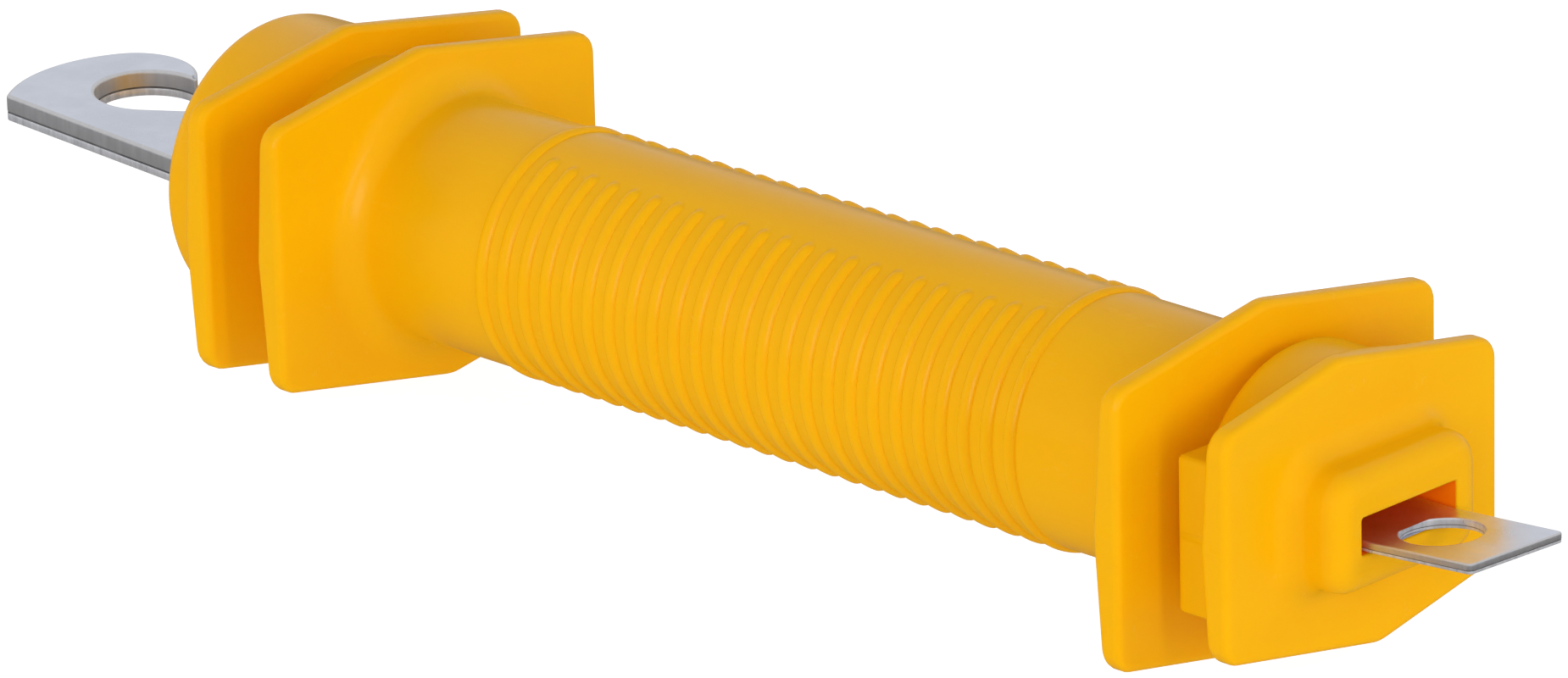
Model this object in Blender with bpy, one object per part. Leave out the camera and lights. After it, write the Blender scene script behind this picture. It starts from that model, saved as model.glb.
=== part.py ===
"""Insulated gate handle for an electric fence, as an assembly of separate solids.

Frame: the origin is the centre of the whole handle, +X runs along the grip from the hook to the
eye, +Y is across the flat bars and +Z is up, square to their faces. Metres in the file; the
dimensions below are in millimetres and are scaled by MM.
"""
import math

import bmesh
import bpy
from mathutils import Matrix, Vector

MM = 0.001
GAP = 0.3                     # clearance between pieces that rest on each other

# Overall
HOOK_TIP_X = -120.2
EYE_END_X = 121.2

# Guard flanges: point-symmetric six-sided plates with shallow gables top and bottom.
# left and right are the heights of the side corners, apex the (y, z) of the gable ridge.
FLANGE_HALF_THICK = 2.0       # at mid height, where the moulds part
FLANGE_DRAFT = 0.075          # hook-side thickness lost for each mm above or below mid height
FLANGE_CORNER_R = 3.0
FLANGE_APEX_R = 6.0
LARGE_PLATE = dict(half_width=27.0, left=17.2, apex=(-1.5, 21.4), right=16.2)
SMALL_PLATE = dict(half_width=23.0, left=13.9, apex=(-3.1, 18.0), right=13.3)
HOOK_OUTER_X = -66.5
HOOK_INNER_X = -53.7
EYE_INNER_X = 83.1
EYE_OUTER_X = 95.7

# Grip tube
GRIP_R = 15.2
BORE_R = 11.0
NECK_R = 13.3
NECK_LENGTH = 2.4             # how far the tube stands out past its two flanges
GRIP_FILLET = 4.0             # where the tube flares into a flange
FOOT_DEPTH = 0.4              # how far a foot is sunk into the flange it stands on
FILLET_STEPS = 3
FIRST_RIB_X = -28.9
RIB_PITCH = 3.6
RIB_COUNT = 25                # the first and the last are full rings
RIB_HEIGHT = 0.55
SMOOTH_STRIP_HALF_ANGLE = math.radians(25)    # ribs stop this far short of top and bottom
TUBE_SEGMENTS = 32

# End caps
COLLAR_R = 16.8
SPIGOT_R = 10.6
SPIGOT_LENGTH = 12.0
SPIGOT_CHAMFER = 0.6
COUNTERBORE_R = 8.6
COUNTERBORE_DEPTH = 5.0
SLOT_WIDTH = 16.0
SLOT_HEIGHT = 4.5
DRUM_R = 19.2                 # round nose of the hook end
DRUM_END_R = 19.0
DRUM_END_X = -81.5
DRUM_EDGE_R = 2.6
BOSS_FACE_X = 104.7
BOSS_HALF_Y = 12.3
BOSS_HALF_Z = 7.3
BOSS_CORNER_R = 4.0
BOSS_EDGE_R = 2.7
BOSS_FILLET = 3.0
EDGE_STEPS = 4                 # round the front edge of the boss
KEY_HALF_Z = 9.4              # blocks that join the eye cap's collar to its flange
KEY_INNER_Y = 8.0
KEY_OUTER_Y = 20.9
KEY_INNER_X = 88.6

# Flat bars
BAR_WIDTH = 14.4
EYE_BAR_THICK = 1.2
EYE_BAR_BOTTOM = -2.15
EYE_TILT = math.radians(4.4)
EYE_HOLE_X = 109.4
EYE_HOLE_R = 4.8
EYE_CORNER_R = 0.8
EYE_END_SKEW = 1.3            # the shears cut the bar's end a little out of square
HOOK_BAR_THICK = 3.3
HOOK_BAR_BOTTOM = EYE_BAR_BOTTOM + EYE_BAR_THICK + GAP
HOOK_TILT = math.radians(2.5)
NOTCH_DEPTH = 1.8
NOTCH_LENGTH = 2.0
BAR_TAIL = 2.8                # bar left beyond its retainer

# Hook outline, in the plane of the bar
HOOK_BACK_R = 18.8            # the broad arc round the tip
HOOK_BACK_CENTRE = (HOOK_TIP_X + HOOK_BACK_R, -1.7)
HOOK_TURN = math.radians(151)     # where the tighter arc of the arm takes over
HOOK_ARM_R = 7.9
HOOK_ARM_END = math.radians(46)
HOOK_THROAT_CENTRE = (-105.4, 1.0)
HOOK_THROAT_R = 6.8
HOOK_THROAT_START = math.radians(84)
HOOK_THROAT_END = math.radians(310)
HOOK_NEAR_EDGE_Y = -13.0
HOOK_NEAR_CORNER_R = 0.8
HOOK_FAR_EDGE_Y = 9.2
HOOK_LIP_R = 4.0              # rounds the lip where it meets the far edge

# Spring and its seats
RETAINER_R = 10.6
RETAINER_THICK = 1.5
THRUST_R = 10.5
THRUST_THICK = 1.0
WIRE_R = 0.9
COIL_R = 9.3
COIL_TURNS = 13
CLOSED_TURNS = 1              # turns laid close together at each end
CLOSED_PITCH = 1.95
WIRE_SIDES = 6
STEPS_PER_TURN = 14

YELLOW = (0.93, 0.42, 0.015, 1.0)
ZINC = (0.60, 0.63, 0.68, 1.0)
SPRING_STEEL = (0.42, 0.42, 0.43, 1.0)


def material(name, colour, roughness, metallic):
    made = bpy.data.materials.new(name)
    made.use_nodes = True
    shader = made.node_tree.nodes["Principled BSDF"]
    shader.inputs["Base Color"].default_value = colour
    shader.inputs["Roughness"].default_value = roughness
    shader.inputs["Metallic"].default_value = metallic
    return made


def add_object(name, bm, finish, smooth_angle=35):
    """Scales a bmesh built in millimetres to metres and links it as an object."""
    bmesh.ops.recalc_face_normals(bm, faces=bm.faces)
    bmesh.ops.scale(bm, vec=(MM, MM, MM), verts=bm.verts)
    mesh = bpy.data.meshes.new(name)
    bm.to_mesh(mesh)
    bm.free()
    if finish:
        mesh.materials.append(finish)
    mesh.shade_smooth()
    mesh.set_sharp_from_angle(angle=math.radians(smooth_angle))
    made = bpy.data.objects.new(name, mesh)
    bpy.context.scene.collection.objects.link(made)
    return made


def loft(rings, closed=False):
    """A closed body through rings of equal count; closed joins the last ring to the first."""
    bm = bmesh.new()
    loops = [[bm.verts.new(point) for point in ring] for ring in rings]
    count = len(loops[0])
    pairs = list(zip(loops, loops[1:]))
    if closed:
        pairs.append((loops[-1], loops[0]))
    else:
        bm.faces.new(loops[0])
        bm.faces.new(loops[-1])
    for a, b in pairs:
        for i in range(count):
            j = (i + 1) % count
            bm.faces.new((a[i], a[j], b[j], b[i]))
    return bm


def circle(x, radius, segments=TUBE_SEGMENTS):
    steps = (math.tau * i / segments for i in range(segments))
    return [(x, radius * math.cos(a), radius * math.sin(a)) for a in steps]


def turned(profile, segments=TUBE_SEGMENTS):
    """A body turned about the X axis through (x, radius) points."""
    return loft([circle(x, radius, segments) for x, radius in profile])


def box(low, high):
    bm = bmesh.new()
    centre = (Vector(low) + Vector(high)) / 2
    size = Vector(high) - Vector(low)
    bmesh.ops.create_cube(bm, size=1.0, matrix=Matrix.Translation(centre) @ Matrix.Diagonal((*size, 1)))
    return bm


def arc(centre, radius, start, end, steps):
    """Points in a plane from angle start to angle end, both ends included."""
    angles = (start + (end - start) * i / steps for i in range(steps + 1))
    return [(centre[0] + radius * math.cos(a), centre[1] + radius * math.sin(a)) for a in angles]


def round_corner(before, corner, after, radius, steps):
    """Points of an arc that rounds the corner between two straight sides."""
    c = Vector(corner)
    a, b = (Vector(before) - c).normalized(), (Vector(after) - c).normalized()
    half = a.angle(b) / 2
    reach = radius / math.tan(half)
    centre = c + (a + b).normalized() * (radius / math.sin(half))
    first = c + a * reach - centre
    sweep = first.angle_signed(c + b * reach - centre)
    points = []
    for i in range(steps + 1):
        turn = -sweep * i / steps
        x = first.x * math.cos(turn) - first.y * math.sin(turn)
        y = first.x * math.sin(turn) + first.y * math.cos(turn)
        points.append((centre.x + x, centre.y + y))
    return points


def cut(target, tool_mesh, name, operation="DIFFERENCE"):
    """Adds an exact Boolean; its other solid stays in the file as a hidden wire guide."""
    tool = add_object(name, tool_mesh, None)
    tool.hide_render = True
    tool.display_type = "WIRE"
    modifier = target.modifiers.new(name, "BOOLEAN")
    modifier.operation = operation
    modifier.solver = "EXACT"
    modifier.object = tool
    return tool


def flange_reach(side, z):
    """Distance of a flange's face from its mid-plane: drafted towards the hook, flat towards the eye."""
    draft = FLANGE_DRAFT * abs(z) if side < 0 else 0.0
    return FLANGE_HALF_THICK - draft


def flange_outline(half_width, left, apex, right):
    """The flange's rim, anticlockwise in (y, z), with a point at mid height on each side."""
    corners = [(half_width, right), apex, (-half_width, left)]
    corners += [(-y, -z) for y, z in corners]
    rim = []
    for i, corner in enumerate(corners):
        radius, steps = (FLANGE_APEX_R, 2) if i % 3 == 1 else (FLANGE_CORNER_R, 4)
        rim += round_corner(corners[i - 1], corner, corners[(i + 1) % 6], radius, steps)
        if i == 2:
            rim.append((-half_width, 0.0))
    return rim + [(half_width, 0.0)]


def flange(x, shape):
    """A plate whose hook side is two drafted planes that meet in a ridge at mid height."""
    rim = flange_outline(**shape)
    bm = bmesh.new()
    sides = []
    for side in (-1, 1):
        place = [(x + side * flange_reach(side, z), y, z) for y, z in rim]
        sides.append([bm.verts.new(p) for p in place])
    left = next(i for i, (y, z) in enumerate(rim) if z == 0 and y < 0)
    right = len(rim) - 1
    for loop in sides:
        bm.faces.new(loop[:left + 1] + loop[right:])
        bm.faces.new(loop[left:right + 1])
    back, front = sides
    for i in range(len(rim)):
        j = (i + 1) % len(rim)
        bm.faces.new((back[i], back[j], front[j], front[i]))
    return bm


def ribbed_ring(x, on_rib, full):
    """One ring of the grip; a rib stops before the smooth strips at top and bottom."""
    points = []
    for i in range(TUBE_SEGMENTS):
        a = math.tau * i / TUBE_SEGMENTS
        from_vertical = math.acos(min(1.0, abs(math.sin(a))))
        raised = on_rib and (full or from_vertical > SMOOTH_STRIP_HALF_ANGLE)
        r = GRIP_R + (RIB_HEIGHT if raised else 0.0)
        points.append((x, r * math.cos(a), r * math.sin(a)))
    return points


def flare(flange_x, towards):
    """Rings that carry the tube's wall out into a flange face with a concave fillet."""
    rings = []
    for k in range(FILLET_STEPS + 1):
        turn = math.pi / 2 * k / FILLET_STEPS
        r = GRIP_R + GRIP_FILLET * (1 - math.sin(turn))
        out = GRIP_FILLET * (1 - math.cos(turn)) if k else -FOOT_DEPTH
        ring = []
        for i in range(TUBE_SEGMENTS):
            a = math.tau * i / TUBE_SEGMENTS
            z = r * math.sin(a)
            ring.append((flange_x + towards * (flange_reach(towards, z) + out), r * math.cos(a), z))
        rings.append(ring)
    return rings


def grip_body(finish):
    start = HOOK_INNER_X - FLANGE_HALF_THICK - NECK_LENGTH
    end = EYE_INNER_X + FLANGE_HALF_THICK + NECK_LENGTH
    rings = [circle(start, NECK_R), circle(HOOK_INNER_X, NECK_R)]
    rings += flare(HOOK_INNER_X, 1)
    half = RIB_PITCH / 2
    rings.append(ribbed_ring(FIRST_RIB_X - half, False, False))
    for i in range(RIB_COUNT):
        x = FIRST_RIB_X + RIB_PITCH * i
        rings.append(ribbed_ring(x, True, i in (0, RIB_COUNT - 1)))
        rings.append(ribbed_ring(x + half, False, False))
    rings += reversed(flare(EYE_INNER_X, -1))
    rings += [circle(EYE_INNER_X, NECK_R), circle(end, NECK_R)]
    rings += [circle(end, BORE_R), circle(start, BORE_R)]
    body = add_object("grip_body", loft(rings, closed=True), finish)
    for x, name in ((HOOK_INNER_X, "grip_hook_flange"), (EYE_INNER_X, "grip_eye_flange")):
        plate_tool = cut(body, flange(x, LARGE_PLATE), name, "UNION")
        bore = [(x - 2 * FLANGE_HALF_THICK, BORE_R), (x + 2 * FLANGE_HALF_THICK, BORE_R)]
        cut(plate_tool, turned(bore), name + "_bore")
    return body


def spigot_profile(face_x, inwards):
    """The plug that enters the grip, from its inner end out to the edge of the collar."""
    end = face_x + inwards * SPIGOT_LENGTH
    return [(end, SPIGOT_R - SPIGOT_CHAMFER), (end - inwards * SPIGOT_CHAMFER, SPIGOT_R),
            (face_x, SPIGOT_R), (face_x, COLLAR_R)]


def cut_cap_openings(cap, face_x, inwards, bar_bottom, outer_x):
    """The counterbore for the bar ends and the slot that guides the bar."""
    end = face_x + inwards * SPIGOT_LENGTH
    floor = end - inwards * COUNTERBORE_DEPTH
    bore = sorted((floor, end + inwards * COUNTERBORE_DEPTH))
    cut(cap, turned([(x, COUNTERBORE_R) for x in bore]), cap.name + "_counterbore")
    low_x, high_x = sorted((end, outer_x - inwards * COUNTERBORE_DEPTH))
    half = SLOT_WIDTH / 2
    bottom = bar_bottom - GAP
    cut(cap, box((low_x, -half, bottom), (high_x, half, bottom + SLOT_HEIGHT)), cap.name + "_slot")


def hook_end_cap(finish):
    face_x = HOOK_INNER_X - FLANGE_HALF_THICK - NECK_LENGTH - GAP
    profile = spigot_profile(face_x, 1)
    profile += [(HOOK_OUTER_X, COLLAR_R), (HOOK_OUTER_X, DRUM_R)]
    edge_centre = (DRUM_END_X + DRUM_EDGE_R, DRUM_END_R - DRUM_EDGE_R)
    profile += arc(edge_centre, DRUM_EDGE_R, math.pi / 2, math.pi, FILLET_STEPS)
    cap = add_object("hook_end_cap", turned(profile), finish)
    cut(cap, flange(HOOK_OUTER_X, LARGE_PLATE), "hook_cap_flange", "UNION")
    cut_cap_openings(cap, face_x, 1, HOOK_BAR_BOTTOM, DRUM_END_X)
    return cap


def rounded_rectangle(half_y, half_z, radius):
    corners = [(half_y, half_z), (-half_y, half_z), (-half_y, -half_z), (half_y, -half_z)]
    points = []
    for i, corner in enumerate(corners):
        points += round_corner(corners[i - 1], corner, corners[(i + 1) % 4], radius, 3)
    return points


def boss():
    """The slotted mouth of the eye end, with a filleted foot and a rounded front edge."""
    root_x = EYE_OUTER_X + FLANGE_HALF_THICK
    sections = [(EYE_OUTER_X, BOSS_FILLET)]
    for k in range(FILLET_STEPS + 1):
        turn = math.pi / 2 * k / FILLET_STEPS
        out = BOSS_FILLET * (1 - math.cos(turn)) if k else -FOOT_DEPTH
        sections.append((root_x + out, BOSS_FILLET * (1 - math.sin(turn))))
    for k in range(EDGE_STEPS + 1):
        turn = math.pi / 2 * k / EDGE_STEPS
        sections.append((BOSS_FACE_X - BOSS_EDGE_R * (1 - math.sin(turn)),
                         -BOSS_EDGE_R * (1 - math.cos(turn))))
    rings = []
    for x, grow in sections:
        rim = rounded_rectangle(BOSS_HALF_Y + grow, BOSS_HALF_Z + grow, BOSS_CORNER_R + grow / 2)
        rings.append([(x, y, z) for y, z in rim])
    return loft(rings)


def eye_end_cap(finish):
    face_x = EYE_INNER_X + FLANGE_HALF_THICK + NECK_LENGTH + GAP
    profile = spigot_profile(face_x, -1) + [(EYE_OUTER_X, COLLAR_R)]
    cap = add_object("eye_end_cap", turned(profile), finish)
    cut(cap, flange(EYE_OUTER_X, SMALL_PLATE), "eye_cap_flange", "UNION")
    for side, name in ((-1, "eye_cap_key_left"), (1, "eye_cap_key_right")):
        low_y, high_y = sorted((side * KEY_INNER_Y, side * KEY_OUTER_Y))
        key = box((KEY_INNER_X, low_y, -KEY_HALF_Z), (EYE_OUTER_X, high_y, KEY_HALF_Z))
        cut(cap, key, name, "UNION")
    cut(cap, boss(), "eye_cap_boss", "UNION")
    cut_cap_openings(cap, face_x, -1, EYE_BAR_BOTTOM, BOSS_FACE_X)
    return cap


def bent_bar(outline, bottom, thickness, bend_x, tilt, split):
    """An extruded outline whose part beyond bend_x slopes upwards away from the grip.

    split holds the two outline indices on the bend line, so that every face stays flat.
    """
    bm = bmesh.new()
    layers = []
    for level in (bottom, bottom + thickness):
        layer = []
        for x, y in outline:
            beyond = max(0.0, (x - bend_x) * math.copysign(1.0, bend_x))
            layer.append(bm.verts.new((x, y, level + beyond * math.tan(tilt))))
        layers.append(layer)
    first, last = split
    for layer in layers:
        bm.faces.new(layer[first:last + 1])
        bm.faces.new(layer[last:] + layer[:first + 1])
    low, high = layers
    for i in range(len(outline)):
        j = (i + 1) % len(outline)
        bm.faces.new((low[i], low[j], high[j], high[i]))
    return bm


def notches(x, edge):
    """A side notch for a retainer, as outline points along the edge at y = edge."""
    inner = edge - math.copysign(NOTCH_DEPTH, edge)
    low, high = x - NOTCH_LENGTH / 2, x + NOTCH_LENGTH / 2
    return [(low, edge), (low, inner), (high, inner), (high, edge)]


def seat_positions():
    """Middles of the retainers and the thrust washers and the spring's two ends, along X."""
    hook_end = HOOK_INNER_X - FLANGE_HALF_THICK - NECK_LENGTH - GAP + SPIGOT_LENGTH
    eye_end = EYE_INNER_X + FLANGE_HALF_THICK + NECK_LENGTH + GAP - SPIGOT_LENGTH
    seats = {}
    for name, end, inwards in (("hook", hook_end, 1), ("eye", eye_end, -1)):
        retainer_x = end + inwards * (GAP + RETAINER_THICK / 2)
        washer_x = retainer_x + inwards * (RETAINER_THICK / 2 + GAP + THRUST_THICK / 2)
        seats[name] = dict(retainer=retainer_x, washer=washer_x,
                           spring=washer_x + inwards * (THRUST_THICK / 2 + GAP))
    return seats


def hook_outline():
    """The hook from the shoulder's near edge round the tip and the throat to its far edge."""
    shoulder = DRUM_END_X - GAP
    back_x, back_y = HOOK_BACK_CENTRE
    offset = HOOK_BACK_R - HOOK_ARM_R
    arm_centre = (back_x + offset * math.cos(HOOK_TURN), back_y + offset * math.sin(HOOK_TURN))
    back_start = math.pi - math.asin((HOOK_NEAR_EDGE_Y - back_y) / HOOK_BACK_R)
    back = arc(HOOK_BACK_CENTRE, HOOK_BACK_R, back_start, HOOK_TURN, 12)
    arm = arc(arm_centre, HOOK_ARM_R, HOOK_TURN, HOOK_ARM_END, 9)
    throat = arc(HOOK_THROAT_CENTRE, HOOK_THROAT_R, HOOK_THROAT_START, HOOK_THROAT_END, 22)
    outer_end, throat_start = Vector(arm[-1]), Vector(throat[0])
    middle = (outer_end + throat_start) / 2
    across = outer_end - throat_start
    facing = math.atan2(across.y, across.x)
    tip = arc(middle, across.length / 2, facing, facing - math.pi, 4)
    lip_start_x, lip_start_y = throat[-1]
    lip_slope = math.tan(HOOK_THROAT_END + math.pi / 2)
    lip_end = (lip_start_x + (HOOK_FAR_EDGE_Y - lip_start_y) / lip_slope, HOOK_FAR_EDGE_Y)
    points = [(shoulder - FOOT_DEPTH, HOOK_NEAR_EDGE_Y)]
    points += round_corner((shoulder, HOOK_NEAR_EDGE_Y), back[0], back[1], HOOK_NEAR_CORNER_R, 3)
    points += back[1:] + arm[1:] + tip[1:-1] + throat
    points += round_corner(throat[-1], lip_end, (shoulder, HOOK_FAR_EDGE_Y), HOOK_LIP_R, 4)
    return points + [(shoulder - FOOT_DEPTH, HOOK_FAR_EDGE_Y)]


def hook_bar(finish):
    """The hook and its long tail, one flat bar that reaches to the far end of the spring."""
    half = BAR_WIDTH / 2
    shoulder = DRUM_END_X - GAP
    retainer_x = seat_positions()["eye"]["retainer"]
    tail = retainer_x + RETAINER_THICK / 2 + BAR_TAIL
    outline = [(shoulder, half)] + notches(retainer_x, half) + [(tail, half), (tail, -half)]
    outline += notches(retainer_x, -half)[::-1] + [(shoulder, -half)]
    bend = len(outline) - 1
    outline += hook_outline()
    bm = bent_bar(outline, HOOK_BAR_BOTTOM, HOOK_BAR_THICK, shoulder, HOOK_TILT, (0, bend))
    return add_object("hook_bar", bm, finish)


def eye_bar(finish):
    """The thin bar whose drilled end takes the fence wire; its tail carries the other retainer."""
    half = BAR_WIDTH / 2
    bend_x = BOSS_FACE_X + GAP
    retainer_x = seat_positions()["hook"]["retainer"]
    tail = retainer_x - RETAINER_THICK / 2 - BAR_TAIL
    low, high = (EYE_END_X - EYE_END_SKEW, -half), (EYE_END_X, half)
    outline = [(bend_x, -half)] + round_corner((bend_x, -half), low, high, EYE_CORNER_R, 3)
    outline += round_corner(low, high, (bend_x, half), EYE_CORNER_R, 3) + [(bend_x, half)]
    bend = len(outline) - 1
    outline += notches(retainer_x, half)[::-1] + [(tail, half), (tail, -half)]
    outline += notches(retainer_x, -half)
    bm = bent_bar(outline, EYE_BAR_BOTTOM, EYE_BAR_THICK, bend_x, EYE_TILT, (0, bend))
    bar = add_object("eye_bar", bm, finish)
    reach = 2 * EYE_BAR_THICK
    level = EYE_BAR_BOTTOM + EYE_BAR_THICK / 2 + (EYE_HOLE_X - bend_x) * math.tan(EYE_TILT)
    drill = turned([(-reach, EYE_HOLE_R), (reach, EYE_HOLE_R)])
    upright = Matrix.Rotation(math.pi / 2 - EYE_TILT, 4, "Y")
    bmesh.ops.transform(drill, verts=drill.verts,
                        matrix=Matrix.Translation((EYE_HOLE_X, 0, level)) @ upright)
    cut(bar, drill, "eye_bar_drill")
    return bar


def disc(name, x, radius, thickness, finish):
    return add_object(name, turned([(x - thickness / 2, radius), (x + thickness / 2, radius)]), finish)


def bar_levels():
    """Bottom and top of each flat bar inside the grip."""
    return {"hook": (HOOK_BAR_BOTTOM, HOOK_BAR_BOTTOM + HOOK_BAR_THICK),
            "eye": (EYE_BAR_BOTTOM, EYE_BAR_BOTTOM + EYE_BAR_THICK)}


def retainer(name, x, held, passing, finish):
    """A C-shaped plate that slips into one bar's notches; the other bar passes freely.

    held and passing are the (bottom, top) levels of the two bars.
    """
    keeper = disc(name, x, RETAINER_R, RETAINER_THICK, finish)
    wide = BAR_WIDTH / 2 + GAP
    narrow = wide - NOTCH_DEPTH
    mouth = RETAINER_R + GAP
    if held[0] > passing[0]:
        far, between = passing[0] - GAP, (held[0] + passing[1]) / 2
    else:
        far, between, mouth = passing[1] + GAP, (held[1] + passing[0]) / 2, -mouth
    half_shape = [(wide, far), (wide, between), (narrow, between), (narrow, mouth)]
    shape = half_shape + [(-y, z) for y, z in reversed(half_shape)]
    ends = (x - RETAINER_THICK, x + RETAINER_THICK)
    cut(keeper, loft([[(end, y, z) for y, z in shape] for end in ends]), name + "_opening")
    return keeper


def thrust_washer(name, x, finish):
    washer = disc(name, x, THRUST_R, THRUST_THICK, finish)
    half = BAR_WIDTH / 2 + GAP
    levels = bar_levels()
    low = (x - THRUST_THICK, -half, levels["eye"][0] - GAP)
    high = (x + THRUST_THICK, half, levels["hook"][1] + GAP)
    cut(washer, box(low, high), name + "_window")
    return washer


def compression_spring(low, high, finish):
    """A round-wire helix with a closed turn at each end."""
    low, high = low + WIRE_R, high - WIRE_R
    open_turns = COIL_TURNS - 2 * CLOSED_TURNS
    open_pitch = (high - low - 2 * CLOSED_TURNS * CLOSED_PITCH) / open_turns

    def along(turn):
        first = min(turn, CLOSED_TURNS)
        last = max(turn - (COIL_TURNS - CLOSED_TURNS), 0.0)
        return low + (first + last) * CLOSED_PITCH + (turn - first - last) * open_pitch

    rings = []
    for i in range(COIL_TURNS * STEPS_PER_TURN + 1):
        turn = i / STEPS_PER_TURN
        a = math.tau * turn
        radial = Vector((0, math.cos(a), math.sin(a)))
        centre = Vector((along(turn), 0, 0)) + radial * COIL_R
        ring = []
        for k in range(WIRE_SIDES):
            b = math.tau * k / WIRE_SIDES
            ring.append(centre + (radial * math.cos(b) + Vector((math.sin(b), 0, 0))) * WIRE_R)
        rings.append(ring)
    return add_object("compression_spring", loft(rings), finish, smooth_angle=70)


def build():
    for old in list(bpy.data.objects):
        bpy.data.objects.remove(old)
    yellow = material("yellow_plastic", YELLOW, 0.32, 0.0)
    zinc = material("zinc_plated_steel", ZINC, 0.35, 1.0)
    spring_steel = material("spring_steel", SPRING_STEEL, 0.4, 1.0)
    seats = seat_positions()
    bars = bar_levels()
    grip_body(yellow)
    hook_end_cap(yellow)
    eye_end_cap(yellow)
    hook_bar(zinc)
    eye_bar(zinc)
    retainer("hook_bar_retainer", seats["eye"]["retainer"], bars["hook"], bars["eye"], zinc)
    retainer("eye_bar_retainer", seats["hook"]["retainer"], bars["eye"], bars["hook"], zinc)
    thrust_washer("hook_bar_thrust_washer", seats["eye"]["washer"], zinc)
    thrust_washer("eye_bar_thrust_washer", seats["hook"]["washer"], zinc)
    compression_spring(seats["hook"]["spring"], seats["eye"]["spring"], spring_steel)


build()
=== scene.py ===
"""Looks of the insulated gate handle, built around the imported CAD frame.

Shapes are worked out in millimetres in the CAD's frame (+X from the hook to the eye plate, +Z up,
square to the flat bars) and scaled to metres when a mesh is made.
"""
import math

import bmesh
import bpy
import numpy as np
from mathutils import Euler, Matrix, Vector


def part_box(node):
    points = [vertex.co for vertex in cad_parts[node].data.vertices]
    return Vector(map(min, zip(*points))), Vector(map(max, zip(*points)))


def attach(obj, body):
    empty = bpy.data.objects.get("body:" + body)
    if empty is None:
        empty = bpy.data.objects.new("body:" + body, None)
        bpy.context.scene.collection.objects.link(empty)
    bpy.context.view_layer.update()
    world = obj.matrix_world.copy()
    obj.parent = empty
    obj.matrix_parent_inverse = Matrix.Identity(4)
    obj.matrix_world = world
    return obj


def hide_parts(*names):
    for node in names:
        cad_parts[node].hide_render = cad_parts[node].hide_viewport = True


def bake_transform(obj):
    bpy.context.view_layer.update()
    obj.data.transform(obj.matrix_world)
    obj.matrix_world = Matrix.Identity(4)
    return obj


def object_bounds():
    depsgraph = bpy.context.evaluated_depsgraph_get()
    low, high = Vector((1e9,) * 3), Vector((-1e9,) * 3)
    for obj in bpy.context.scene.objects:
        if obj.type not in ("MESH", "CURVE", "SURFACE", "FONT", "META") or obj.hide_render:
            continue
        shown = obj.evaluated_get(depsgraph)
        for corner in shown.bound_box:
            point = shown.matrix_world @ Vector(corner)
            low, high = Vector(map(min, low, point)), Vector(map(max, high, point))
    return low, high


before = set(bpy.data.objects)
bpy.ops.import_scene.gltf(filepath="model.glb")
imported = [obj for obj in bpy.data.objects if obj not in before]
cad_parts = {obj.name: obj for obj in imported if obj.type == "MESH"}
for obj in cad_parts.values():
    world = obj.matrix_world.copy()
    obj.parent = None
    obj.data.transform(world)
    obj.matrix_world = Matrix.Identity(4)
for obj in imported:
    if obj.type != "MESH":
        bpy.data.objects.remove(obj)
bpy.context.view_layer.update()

MM = 0.001


def extent(node):
    """Lowest and highest corner of a CAD node, in millimetres."""
    low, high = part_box(node)
    return np.array(low) / MM, np.array(high) / MM


# ---------------------------------------------------------------- driving dimensions, millimetres
GAP = 0.3                     # clearance between pieces
WELD = 0.0005                 # points nearer than this become one, so no face is left without area
GRIP_POINTS = 216             # even steps round the X axis, before the corners' own points
CAP_POINTS = 200
WASHER_POINTS = 120
LEAST_ANGLE = 1e-4            # radians between two of the corners' own points
CLEAR_SHARE = 0.3             # an even step nearer than this share of a step to one is left out
MITRE_LIMIT = 0.3             # keeps sharp corners from shooting out when an outline is drawn in
TINY = 1e-6

PLATE_HALF = 2.0              # flange half thickness at mid height
DRAFT = 0.075                 # thinning per millimetre of height, on the side facing the hook
CORNER_R = 3.0
APEX_R = 6.0
LARGE_PLATE = dict(half_width=27.0, left=17.2, apex=(-1.5, 21.4), right=16.2)
SMALL_PLATE = dict(half_width=23.0, left=13.9, apex=(-3.1, 18.0), right=13.3)
EDGE_R = 0.9                  # soft edge of the flanges' rims
EDGE_STEPS = 6
SUPPORT = 0.3                 # from a soft edge to the ring that keeps the flat face beside it flat
NIB_HEIGHT = 0.22             # flash left on the rims where the mould halves met
NIB_HALF = math.radians(0.7)
NIB_SIDES = (0, 180)          # degrees round the X axis, and the points to each side of them
NIB_POINTS = (-1.2, -0.5, 0.0, 0.5, 1.2)
NIB_ANGLES = [math.radians(side + point) for side in NIB_SIDES for point in NIB_POINTS]

NECK_R = 13.3
NECK_LENGTH = 2.4
GRIP_R = 15.2
BORE_R = 11.0
BORE_SOFT = 0.3
FILLET = 4.0                  # between the grip's tube and its flanges
FILLET_STEPS = 9
TUBE_INSET = 8.0              # from a flange's middle to the first plain ring of the tube
CORNER_SOFT = 0.5             # radius of the outer corner of a neck or collar
CORNER_MIDDLE = 0.15          # how deep that corner is cut at its middle
ROOT = 0.6                    # small fillet where a neck or the drum meets a flange
COLLAR_ROOT = 0.4
RIB_PITCH = 3.6
RIB_COUNT = 25
RIB_HEIGHT = 0.52
RIB_HALF = 0.95               # from the middle of a rib to its foot
RIB_ROUNDING = 0.7            # below 1 the rib is fuller than a parabola
RIB_TIP = 0.8                 # how fast a rib's end tapers, against its side
RIB_RINGS = (-1.0, -0.96, -0.88, -0.75, -0.55, -0.3, 0.0)     # foot to middle, of RIB_HALF
STRIP_MIDDLE = 25.5           # degrees from the top to the ribs' ends, at the middle of the grip
STRIP_LOSS = 6.5              # and how much narrower that strip is at the outer ribs
STRIP_POWER = 6
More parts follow.
